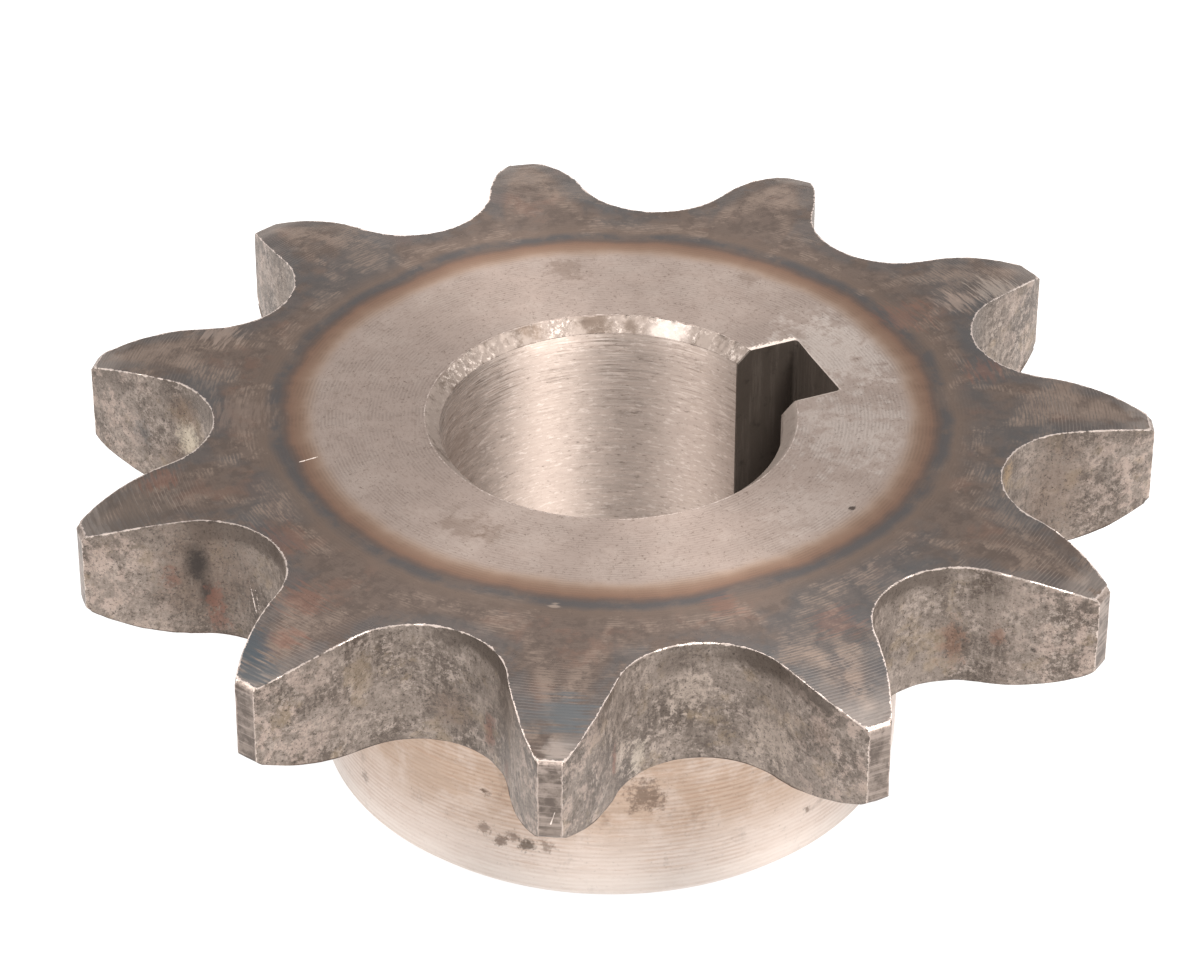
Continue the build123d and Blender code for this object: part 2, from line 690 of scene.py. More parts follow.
@dataclass(frozen=True)
class Scratch:
    """A thin line between two places."""

    start: Point
    end: Point
    width: float
    colour: Colour = srgb(232, 216, 206)

    def lay(self, paint: Paint, colour: Socket, fray: Socket) -> Socket:
        """Paint the scratch.

        The distance is that to the nearest point of the line: the point's share along it, held
        between 0 and 1, gives the foot of the perpendicular.

        Args:
            paint: The material.
            colour: What lies under it.
            fray: Noise for its edge.

        Returns:
            The colour with the scratch on it.
        """
        run = Vector(self.end) - Vector(self.start)
        away = paint.vector("SUBTRACT", paint.place, self.start)
        along = paint.math("DIVIDE", paint.vector("DOT_PRODUCT", away, tuple(run)), run.length_squared)
        held = paint.add("ShaderNodeClamp", {0: along}).outputs[0]
        foot = paint.vector("SCALE", tuple(run), Scale=held)
        reach = paint.math("MULTIPLY_ADD", fray, -3.0 * self.width, paint.vector("DISTANCE", away, foot))
        return paint.mix(paint.step(reach, 0.6 * self.width, 0.25 * self.width, 0, 0.9), colour, self.colour)


def spotted(paint: Paint, colour: Any, spots: Sequence[SoftSpot | Scratch], noise: Socket) -> Socket:
    """Lay soft spots or scratches over a colour, one after another. Most spots are stains; some are painted
    shade and some painted sheen.

    Args:
        paint: The material.
        colour: What lies under them.
        spots: The soft spots or scratches, in order.
        noise: Noise from 0 to 1 that frays their edges.

    Returns:
        The colour with the spots on it.
    """
    for spot in spots:
        colour = spot.lay(paint, colour, paint.centred(noise))
    return colour


@dataclass(frozen=True)
class FaceFinish:
    """The turned side of the plate: bare about the bore, heat-tinted in a ring, scaled over the teeth."""

    steel: Colour = srgb(138, 124, 116)
    shine: Colour = srgb(152, 140, 132)
    smudge: Colour = srgb(106, 90, 80)
    grit: Colour = srgb(72, 58, 49)
    straw: Colour = srgb(132, 113, 100)
    tan: Colour = srgb(116, 94, 80)
    bronze: Colour = srgb(106, 83, 70)
    plum: Colour = srgb(82, 69, 63)
    slate: Colour = srgb(70, 66, 65)
    ember: Colour = srgb(88, 75, 67)
    scale: Colour = srgb(87, 75, 68)
    dark: Colour = srgb(65, 56, 51)
    worn: Colour = srgb(117, 102, 92)
    tip: Colour = srgb(140, 127, 118)
    blue: Colour = srgb(64, 66, 68)
    rust: Colour = srgb(102, 78, 67)
    burr: Colour = srgb(176, 163, 156)
    heat_radii: tuple[float, ...] = (16.9, 17.6, 18.15, 18.65, 19.05, 19.4, 19.7, 20.2)
    ring_centre: Point = (0.2, 0.42, 0.0)
    relief_start: float = 25.16
    pitch: float = 0.21
    sheen_and_smudges: tuple[SoftSpot, ...] = ()
    stains: tuple[SoftSpot, ...] = ()
    scratches: tuple[Scratch, ...] = ()

    def paint(self, name: str) -> bpy.types.Material:
        """Make the material.

        The heat's colours are read at the distance from the ring's centre, which noise lengthens and
        shortens, and so are the limits of bare steel and scale. The tool's grooves follow the radius
        and show most over the relieved teeth, and the scale is rubbed through mostly on their ridges.
        Pale patches on the bare steel towards +X are painted sheen, and pale lines along the grooves
        over the relief are painted highlight.

        Args:
            name: The material's name.

        Returns:
            The material.
        """
        p = Paint(name)
        upper = p.mark("upper")
        cloud = p.noise(0.13, 4, 0.6)
        patch = p.noise(0.34, 9, 0.68)
        mottle = p.noise(1.0, 8, 0.7)
        grain = p.noise(6.0, 4, 0.75)
        drag = p.drag(13.0, 4.0)
        fine = p.drag(26.0, 8.0, 5)

        flat = p.join(p.x, p.y, 0.0)
        away = p.math("SUBTRACT", p.vector("DISTANCE", flat, self.ring_centre), 0.97)
        tint = p.math("MULTIPLY_ADD", cloud, 1.6, p.math("MULTIPLY_ADD", mottle, 0.35, away))

        steel = p.coat(
            self.steel,
            (patch, 0.46, 0.62, 0.3, self.shine),
            (p.noise(3.0, 8, 0.85), 0.52, 0.66, 0.5, self.smudge))
        # Painted sheen: pale patches brighten the bare steel towards +X, by the keyway; the dark patches
        # among them are smudges.
        steel = spotted(p, steel, self.sheen_and_smudges, mottle)
        steel = p.coat(steel, (fine, 0.5, 0.36, 0.25, self.smudge), (grain, 0.58, 0.68, 0.6, self.grit))

        scale = p.coat(
            self.scale,
            (mottle, 0.56, 0.42, 0.5, self.dark),
            (patch, 0.52, 0.64, 0.35, self.rust),
            (cloud, 0.5, 0.62, 0.5, self.blue))
        scaled = p.step(tint, 18.2, 20.2)
        heat = (self.steel, self.straw, self.tan, self.bronze, self.plum, self.slate, self.slate, self.ember)
        ring = p.ramp(tint, 16.5, 22.5, tuple(zip(self.heat_radii, heat)))
        worn_ring = p.times(p.step(tint, 18.9, 19.3), p.step(patch, 0.46, 0.6, 0, 0.6))
        ring = p.mix(worn_ring, ring, self.ember)
        colour = p.coat(steel, (tint, 16.7, 18.0, 1, ring), (tint, 19.9, 21.6, 1, scale))

        grooves = p.grooves(p.math("MULTIPLY_ADD", mottle, 0.12, p.radius), self.pitch)
        relief_share = p.step(p.radius, self.relief_start - 1.5, self.relief_start + 2)
        ridges = p.step(p.math("MULTIPLY_ADD", grooves, p.between(relief_share, 0.15, 0.4), fine), 0.5, 0.7)
        rubbed = p.math("ADD", p.step(p.radius, 21.0, 31.0, -0.03, 0.05), p.noise(0.26, 9, 0.66))
        rubbed = p.times(p.step(rubbed, 0.48, 0.6), p.step(tint, 20.2, 22.5, 0.3, 1.0), scaled)
        colour = p.mix(p.times(rubbed, p.between(ridges, 0.15, 0.7)), colour, self.worn)
        tipped = p.times(p.step(p.radius, 29.4, 30.8), p.step(patch, 0.4, 0.52), p.between(ridges, 0.4, 1.0))
        colour = p.mix(p.times(tipped, 0.8), colour, self.tip)
        lined = p.times(grooves, p.step(p.noise(0.5, 5, 0.6), 0.42, 0.6), p.between(relief_share, 0.22, 0.4))
        colour = p.mix(lined, colour, self.dark)
        # Painted highlight: pale lines along the grooves over the relief, where turned grooves catch the
        # light.
        groove_glints = p.times(p.step(grooves, 0.35, 0.05), relief_share, p.step(patch, 0.42, 0.56), scaled, 0.42)
        colour = p.mix(groove_glints, colour, self.tip)

        band = p.times(p.step(upper, 1.5, 0.6), p.step(patch, 0.38, 0.52), scaled)
        colour = p.mix(p.times(band, 0.45), colour, self.blue)
        beside_edge = p.times(p.step(upper, 1.2, 1.8), p.step(upper, 3.0, 2.2))
        halo = p.times(beside_edge, p.step(p.noise(0.7, 8, 0.7), 0.46, 0.56), scaled)
        colour = p.mix(p.times(halo, p.between(ridges, 0.1, 0.6)), colour, self.worn)
        colour = p.mix(p.times(p.step(grain, 0.4, 0.3), scaled, 0.5), colour, self.dark)
        colour = p.mix(p.times(p.step(p.noise(2.4, 6, 0.8), 0.64, 0.72), scaled, 0.5), colour, self.worn)
        colour = spotted(p, colour, self.stains, drag)
        colour = spotted(p, colour, self.scratches, grain)
        bright = p.torn(p.least(upper, p.mark("lip")), p.noise(2.2, 5, 0.8), 0.5, 0.215, 0.04)
        colour = p.mix(bright, colour, self.burr)

        bare = p.math("MAXIMUM", p.math("SUBTRACT", 1.0, scaled), bright)
        rough = p.between(bare, p.step(patch, 0.3, 0.7, 0.52, 0.64), p.step(mottle, 0.3, 0.7, 0.5, 0.6))
        turned = p.times(grooves, p.between(relief_share, 0.1, 1.0))
        relief = p.bump(turned, 0.014, p.bump(fine, 0.007, p.bump(grain, 0.006)))
        return p.finish(
            Base_Color=colour, Metallic=p.between(bare, 0.5, 0.62), Roughness=rough, Normal=relief,
            Anisotropic=0.7, Tangent=flat, Specular_IOR_Level=0.3)


@dataclass(frozen=True)
class FlankFinish:
    """The cut faces between the teeth: grey scale, speckled and streaked, with a bright burr above."""

    base: Colour = srgb(128, 116, 107)
    dark: Colour = srgb(90, 79, 71)
    pale: Colour = srgb(160, 146, 136)
    speck: Colour = srgb(50, 41, 36)
    pink: Colour = srgb(184, 164, 152)
    tan: Colour = srgb(150, 130, 104)
    burr: Colour = srgb(204, 189, 179)
    shaded: tuple[SoftSpot, ...] = ()
    stains: tuple[SoftSpot, ...] = ()
    scratches: tuple[Scratch, ...] = ()

    def paint(self, name: str) -> bpy.types.Material:
        """Make the material.

        Crust, streaks and specks lie over one another. The shaded areas darken only a ragged band
        under the upper edge, and the burr is bright where an edge of the face is near.

        Args:
            name: The material's name.

        Returns:
            The material.
        """
        p = Paint(name)
        upper, foot, corner = p.mark("upper"), p.mark("foot"), p.mark("corner")
        streak = p.noise(2.6, 6, 0.7, p.vector("MULTIPLY", p.place, (1.0, 1.0, 0.14)))
        cloud = p.noise(0.26, 8, 0.68)
        fine = p.noise(2.2, 8, 0.78)
        speck = p.noise(6.0, 4, 0.8)

        colour = p.coat(self.dark, (cloud, 0.4, 0.58, 1, self.base))
        crust = p.step(p.noise(0.5, 5, 0.6), 0.42, 0.58, 0.3, 0.85)
        colour = p.mix(p.times(crust, p.step(fine, 0.5, 0.57)), colour, self.pale)
        colour = p.mix(p.times(crust, p.step(fine, 0.46, 0.39)), colour, self.dark)
        colour = p.coat(
            colour,
            (streak, 0.52, 0.66, 0.3, self.pale),
            (streak, 0.46, 0.34, 0.3, self.dark),
            (p.noise(0.4, 6, 0.65), 0.54, 0.66, 0.35, self.tan))
        shade = p.times(p.step(upper, 2.0, 0.6), p.step(p.noise(0.2, 4), 0.4, 0.56))
        colour = p.mix(p.times(shade, 0.6), colour, self.dark)
        colour = p.coat(colour, (speck, 0.55, 0.64, 0.4, self.pale))
        # The flank stains include one spot of painted shade under an upper edge.
        colour = spotted(p, colour, self.stains, fine)
        # Painted shade: each shaded area darkens a ragged band under the upper edge.
        under_edge = p.step(p.math("MULTIPLY_ADD", cloud, 2.4, upper), 2.7, 2.1)
        for stain in self.shaded:
            away = p.vector("DISTANCE", p.place, stain.place)
            area = p.step(away, stain.size, 0.6 * stain.size, 0, stain.strength)
            colour = p.mix(p.times(area, under_edge), colour, stain.colour)
        scuff = p.times(p.step(corner, 7.0, 1.5), p.step(p.noise(0.9, 8, 0.75), 0.48, 0.58))
        colour = p.mix(p.times(scuff, 0.5), colour, self.pink)
        colour = p.coat(colour, (speck, 0.45, 0.36, 0.75, self.speck))
        colour = spotted(p, colour, self.scratches, speck)

        near = p.least(upper, p.math("ADD", foot, 0.07), p.math("ADD", corner, 0.02))
        bright = p.torn(near, p.noise(2.2, 5, 0.8), 0.5, 0.225, 0.04)
        colour = p.mix(bright, colour, self.burr)
        rough = p.between(bright, p.step(cloud, 0.3, 0.7, 0.46, 0.6), 0.36)
        relief = p.bump(speck, 0.006, p.bump(streak, 0.02, p.bump(fine, 0.03)))
        metal = p.between(bright, 0.55, 1.0)
        return p.finish(Base_Color=colour, Metallic=metal, Roughness=rough, Normal=relief)


@dataclass(frozen=True)
class LandFinish:
    """The tip of a tooth: turned across, darkened between its pale worn edges."""

    base: Colour = srgb(132, 119, 110)
    dark: Colour = srgb(92, 81, 74)
    pale: Colour = srgb(166, 151, 142)
    scratches: tuple[Scratch, ...] = ()

    def paint(self, name: str) -> bpy.types.Material:
        """Make the material.

        Args:
            name: The material's name.

        Returns:
            The material.
        """
        p = Paint(name)
        upper = p.mark("upper")
        patch = p.noise(0.8, 8, 0.7)
        lines = p.drag(9.0, 5.0, 4)
        colour = p.coat(
            self.dark,
            (patch, 0.4, 0.6, 1, self.base),
            (lines, 0.5, 0.64, 0.5, self.pale),
            (lines, 0.46, 0.36, 0.5, self.dark))
        colour = spotted(p, colour, self.scratches, patch)
        near = p.least(upper, p.mark("foot"), p.mark("corner"))
        worn = p.torn(near, p.noise(2.4, 6, 0.8), 0.55, 0.235, 0.06)
        worn = p.math("MAXIMUM", worn, p.times(p.step(upper, 0.8, 0.55), p.step(patch, 0.4, 0.55), 0.6))
        colour = p.mix(worn, colour, self.pale)
        relief = p.bump(lines, 0.02, p.bump(p.noise(5.0, 4, 0.7), 0.01))
        return p.finish(Base_Color=colour, Metallic=p.between(worn, 0.6, 0.85), Roughness=0.46, Normal=relief)


@dataclass(frozen=True)
class TurnedFinish:
    """Bare turned steel on a round surface: the hub, its end and the bore."""

    steel: Colour = srgb(218, 203, 193)
    groove: Colour = srgb(186, 160, 143)
    stain: Colour = srgb(112, 96, 85)
    shine: Colour = srgb(240, 230, 222)
    pitch: float = 0.3
    grooved: float = 1.0
    scored: float = 0.0
    plate_darkening: float = 0.0
    plate_tint: Colour = (0.72, 0.62, 0.53)
    darkening_start: float = -16.2
    darkening_full: float = -12.0
    bright_end: float = -17.2
    mouth_start: float = -5.0
    mouth_full: float = 2.5
    rough: float = 0.42
    stretch: float = 0.6
    stains: tuple[SoftSpot, ...] = ()

    def paint(self, name: str) -> bpy.types.Material:
        """Make the material.

        The tool's marks follow Z on the sides. The rings that a tool leaves on the flat end follow the
        radius, so both are read from their difference, which changes with one of them at a time.

        Args:
            name: The material's name.

        Returns:
            The material.
        """
        p = Paint(name)
        across = p.math("SUBTRACT", p.z, p.radius)
        mottle = p.noise(0.6, 8, 0.7)
        speck = p.noise(2.6, 6, 0.8)
        feed = p.grooves(p.math("MULTIPLY_ADD", p.noise(0.12, 2), 0.3, across), self.pitch)
        drag = p.drag(6.0, 3.0)
        fine = p.drag(16.0, 6.0, 4)

        ridges = p.step(p.math("MULTIPLY_ADD", feed, 0.5, fine), 0.5, 0.95)
        colour = p.mix(p.between(ridges, 0.45 * self.grooved, 0.0), self.steel, self.groove)
        colour = p.coat(
            colour,
            (p.noise(0.2, 3), 0.6, 0.4, 0.6, self.steel),
            (drag, 0.44, 0.34, 0.4, self.groove),
            (mottle, 0.56, 0.72, 0.35, self.stain),
            (fine, 0.6, 0.7, self.scored, self.stain),
            (fine, 0.44, 0.36, self.scored, self.shine),
            (p.noise(5.0, 5, 0.8), 0.58, 0.68, 0.35, self.stain),
            (p.z, self.darkening_start, self.bright_end, 0.4 * self.plate_darkening, self.shine))
        # Darker and warmer towards the plate, by the given strength.
        plate_darkening = p.step(p.z, self.darkening_start, self.darkening_full, 0, self.plate_darkening)
        plate_darkening = p.times(plate_darkening, p.step(p.noise(0.5, 6, 0.65), 0.36, 0.56, 0.5, 0.9))
        colour = p.mix(plate_darkening, colour, self.plate_tint, "MULTIPLY")
        scores = p.drag(3.5, 10.0, 5)
        mouth = p.step(p.z, self.mouth_start, self.mouth_full, 0, self.scored)
        mouth = p.times(mouth, p.step(p.noise(0.3, 5, 0.6), 0.42, 0.58, 0.2, 1.0))
        colour = p.mix(p.times(mouth, p.step(scores, 0.54, 0.6)), colour, self.shine)
        colour = p.mix(p.times(mouth, p.step(scores, 0.44, 0.39)), colour, self.stain)
        colour = spotted(p, colour, self.stains, speck)
        colour = p.coat(colour, (speck, 0.64, 0.72, 0.6, self.stain))
        rough = p.step(drag, 0.35, 0.65, self.rough - 0.06, self.rough + 0.08)
        relief = p.bump(fine, 0.01, p.bump(feed, 0.006 * self.grooved))
        return p.finish(
            Base_Color=colour, Metallic=1.0, Roughness=rough, Normal=relief,
            Anisotropic=self.stretch, Tangent=p.join(0.0, 0.0, 1.0))


@dataclass(frozen=True)
class RimFinish:
    """The bore's chamfer: rough, with bright chips and brown pockets."""

    steel: Colour = srgb(124, 112, 104)
    bright: Colour = srgb(180, 168, 160)
    pocket: Colour = srgb(74, 61, 52)
    chipped_side: Point = (0.4, 0.917, 0.0)
    stains: tuple[SoftSpot, ...] = ()

    def paint(self, name: str) -> bpy.types.Material:
        """Make the material.

        Args:
            name: The material's name.

        Returns:
            The material.
        """
        p = Paint(name)
        patch = p.noise(0.5, 8, 0.72)
        chip = p.noise(3.4, 6, 0.8)
        colour = p.coat(self.steel, (patch, 0.5, 0.62, 0.7, self.pocket))
        towards = p.vector("DOT_PRODUCT", p.place, self.chipped_side)
        chipped = p.times(p.step(p.noise(0.3, 5, 0.6), 0.4, 0.56), p.step(towards, 1.0, 6.0, 0.15, 1.0))
        colour = p.mix(p.times(p.step(chip, 0.52, 0.6, 0, 0.95), chipped), colour, self.bright)
        colour = p.mix(p.times(p.step(chip, 0.44, 0.36, 0, 0.8), chipped), colour, self.pocket)
        colour = spotted(p, colour, self.stains, patch)
        relief = p.bump(p.times(chip, chipped), 0.024, p.bump(p.noise(9.0, 4, 0.75), 0.006))
        return p.finish(Base_Color=colour, Metallic=0.6, Roughness=0.6, Normal=relief)


@dataclass(frozen=True)
class KeywayFinish:
    """The broached keyway: streaked along the broach, and dark as painted shade for the deep, narrow slot."""

    base: Colour = srgb(78, 69, 62)
    streak: Colour = srgb(104, 94, 86)
    deep: Colour = srgb(50, 43, 38)

    def paint(self, name: str) -> bpy.types.Material:
        """Make the material.

        Args:
            name: The material's name.

        Returns:
            The material.
        """
        p = Paint(name)
        streak = p.noise(2.2, 6, 0.7, p.vector("MULTIPLY", p.place, (1.0, 1.0, 0.08)))
        patch = p.noise(1.2, 6, 0.7)
        # The dark base is painted shade for the deep, narrow slot.
        colour = p.coat(self.base, (streak, 0.45, 0.7, 0.6, self.streak), (patch, 0.45, 0.3, 0.5, self.deep))
        relief = p.bump(streak, 0.02, p.bump(patch, 0.01))
        return p.finish(Base_Color=colour, Metallic=0.5, Roughness=0.5, Normal=relief)


# ---------------------------------------------------------------- the part

OIL = srgb(52, 45, 41)
EARTH = srgb(112, 94, 82)
RED = srgb(112, 76, 63)
STRAW = srgb(196, 182, 162)
GREY_BLUE = srgb(104, 108, 112)
INK = srgb(62, 67, 71)
SHADE = srgb(88, 76, 68)
PALE = srgb(182, 166, 153)

# Pale patches: painted sheen on the bare steel towards +X. Dark patches: smudges.
FACE_SHEEN_AND_SMUDGES = (
    SoftSpot((15.2, 1.0, 3.9), 4.5, srgb(164, 153, 146), 0.9),
    SoftSpot((12.2, -7.4, 3.9), 4.2, srgb(160, 149, 142), 0.8),
    SoftSpot((6.5, -13.5, 3.9), 3.0, srgb(158, 147, 140), 0.4),
    SoftSpot((-12.3, -7.2, 3.9), 1.5, srgb(98, 80, 68), 0.4),
    SoftSpot((-10.9, -8.8, 3.9), 1.0, srgb(98, 80, 68), 0.4),
    SoftSpot((4.0, 15.8, 3.9), 1.4, srgb(98, 82, 72), 0.5),
    SoftSpot((14.0, 10.5, 3.9), 1.1, srgb(104, 88, 78), 0.5),
)
FACE_STAINS = (
    SoftSpot((8.6, -14.3, 3.9), 0.22, srgb(56, 47, 42), 0.9),
    SoftSpot((-10.5, -16.3, 3.9), 0.3, srgb(128, 114, 104), 0.7),
    SoftSpot((-26.8, -12.5, 3.3), 1.5, INK, 0.85),
    SoftSpot((-25.1, -13.1, 3.6), 1.1, RED, 0.4),
    SoftSpot((-23.0, -10.3, 3.9), 1.5, RED, 0.35),
    SoftSpot((-13.6, -25.3, 3.5), 1.3, srgb(76, 80, 83), 0.75),
    SoftSpot((-14.2, -24.9, 3.6), 2.0, srgb(78, 79, 80), 0.6, 1.0, 3.0),
    SoftSpot((-15.2, -27.3, 3.0), 0.9, srgb(140, 127, 119), 0.5),
    SoftSpot((-27.4, -14.2, 3.0), 1.7, INK, 0.8),
    SoftSpot((-28.6, 2.0, 3.4), 2.8, srgb(76, 67, 61), 0.7),
    SoftSpot((-21.9, -4.6, 3.9), 1.7, RED, 0.25),
    SoftSpot((-26.3, 3.9, 3.8), 1.2, RED, 0.35),
    SoftSpot((3.0, -24.0, 3.9), 1.6, RED, 0.25),
    SoftSpot((-2.0, -20.0, 3.9), 1.2, RED, 0.3),
    SoftSpot((20.5, 2.8, 3.9), 1.8, RED, 0.28),
    SoftSpot((22.0, -4.5, 3.9), 1.4, RED, 0.3),
    SoftSpot((27.3, 3.5, 3.6), 1.8, srgb(142, 130, 121), 0.6),
    SoftSpot((24.2, 3.0, 3.9), 1.3, srgb(138, 122, 112), 0.5),
    SoftSpot((-17.8, 17.2, 3.9), 1.4, srgb(138, 122, 112), 0.5),
    SoftSpot((-19.8, 8.6, 3.9), 2.2, srgb(106, 92, 84), 0.5),
)
FACE_SCRATCHES = (
    Scratch((-18.4, 2.4, 3.9), (-17.3, 2.5, 3.9), 0.08),
    Scratch((9.9, 3.16, 3.9), (13.2, 3.1, 3.9), 0.42),
    Scratch((13.4, 3.1, 3.9), (13.4, -3.0, 3.9), 0.08, srgb(170, 157, 149)),
    Scratch((13.2, -3.04, 3.9), (10.6, -3.04, 3.9), 0.08, srgb(160, 148, 140)),
)
FLANK_SHADE = (
    SoftSpot((-1.2, -26.5, 3.0), 5.0, srgb(84, 73, 65), 0.85),
    SoftSpot((-14.8, -18.6, 3.0), 4.6, srgb(82, 71, 63), 0.8),
    SoftSpot((8.2, -21.6, 3.0), 3.6, srgb(84, 73, 65), 0.75),
    SoftSpot((-24.0, -3.0, 3.0), 4.0, srgb(84, 72, 64), 0.7),
)
FLANK_STAINS_AND_SHADE = (
    SoftSpot((-25.5, -1.2, 0.3), 3.4, srgb(106, 90, 79), 0.7, 1.3),
    SoftSpot((-22.1, 13.2, -1.6), 1.5, EARTH, 0.4),
    SoftSpot((-16.6, -16.1, -1.6), 1.4, EARTH, 0.55),
    SoftSpot((22.7, -12.1, 0.0), 2.6, EARTH, 0.5, 1.5),
    SoftSpot((-5.2, -22.5, 0.8), 1.6, PALE, 0.5),
    SoftSpot((-9.9, -23.7, -1.4), 1.3, PALE, 0.6),
    SoftSpot((-1.6, -25.7, -1.4), 2.0, PALE, 0.4),
    SoftSpot((-25.9, -0.8, 0.9), 0.95, OIL, 1.0, 1.8, 1.6),
    SoftSpot((-25.5, -1.1, -1.0), 0.6, OIL, 0.9, 2.0, 1.8),
    SoftSpot((-25.0, -1.2, -1.4), 0.7, RED, 0.7, 1.8),
    SoftSpot((-27.3, -0.3, 0.0), 0.6, RED, 0.5, 1.4),
    SoftSpot((-24.9, -1.3, -2.8), 0.7, RED, 0.6, 1.3),
    SoftSpot((-21.9, 12.6, 2.0), 1.4, srgb(106, 84, 68), 0.55, 1.0, 2.4),
    SoftSpot((-21.8, 12.4, 0.1), 1.1, STRAW, 0.75, 1.3, 2.2),
    SoftSpot((-23.7, 15.4, -0.6), 0.8, INK, 0.4, 1.4),
    SoftSpot((-22.9, -3.7, -3.0), 0.9, GREY_BLUE, 0.7, 1.3),
    SoftSpot((-15.2, -18.4, -1.8), 0.55, RED, 0.65, 2.6),
    SoftSpot((-15.3, -20.6, -2.9), 0.5, RED, 0.5, 2.0),
    SoftSpot((-10.4, -24.4, -1.2), 0.4, RED, 0.75, 3.0),
    SoftSpot((-8.3, -22.7, -2.6), 0.8, srgb(176, 164, 150), 0.6, 1.5),
    SoftSpot((11.3, -21.8, -1.2), 0.9, srgb(116, 84, 66), 0.6, 2.0),
    SoftSpot((13.4, -23.2, -0.4), 0.5, srgb(116, 76, 56), 0.5, 1.5),
    SoftSpot((19.1, -13.3, 2.9), 0.9, srgb(160, 132, 96), 0.45),
    SoftSpot((15.1, -24.5, -1.0), 0.22, OIL, 0.9),
    SoftSpot((-0.4, -29.1, 1.2), 0.9, EARTH, 0.5, 1.4),
    # Painted shade: a dark spot under the upper edge at the gap's seat near (-6, -22.5).
    SoftSpot((-6.0, -22.5, 2.8), 1.3, SHADE, 0.5, 0.8),
)
HUB_STAINS = (
    SoftSpot((-12.9, -11.6, -11.7), 0.3, EARTH, 0.9),
    SoftSpot((-12.9, -11.5, -14.4), 0.5, EARTH, 0.6),
    SoftSpot((-12.2, -12.2, -14.9), 0.5, EARTH, 0.75),
    SoftSpot((-11.6, -12.8, -14.4), 0.45, EARTH, 0.7),
    SoftSpot((-11.0, -13.4, -14.9), 0.6, srgb(84, 72, 62), 0.8),
    SoftSpot((-10.1, -14.1, -14.7), 0.5, EARTH, 0.6),
    SoftSpot((-5.0, -16.6, -10.8), 1.3, EARTH, 0.75),
    SoftSpot((-17.0, -3.0, -15.3), 0.5, EARTH, 0.5),
    SoftSpot((5.3, -16.5, -15.0), 0.3, EARTH, 0.7),
)
RIM_STAINS = (
    SoftSpot((3.3, 9.9, 3.6), 1.5, srgb(84, 70, 60), 0.85),
    SoftSpot((5.2, 9.0, 3.6), 0.8, srgb(84, 70, 60), 0.7),
    SoftSpot((-0.5, 10.4, 3.6), 0.9, srgb(96, 80, 68), 0.7),
    SoftSpot((7.2, 7.6, 3.5), 1.3, srgb(200, 188, 180), 0.6),
)
FLANK_SCRATCHES = (
    Scratch((-23.9, -2.2, 0.6), (-23.7, -2.5, -0.6), 0.09),
    Scratch((-23.5, -2.7, 0.2), (-23.2, -3.0, -1.8), 0.08),
    Scratch((-23.2, -3.0, -0.2), (-23.1, -3.2, -1.5), 0.06),
)
LAND_SCRATCHES = (Scratch((-15.6, -27.7, -1.5), (-15.4, -27.8, -0.7), 0.07),)


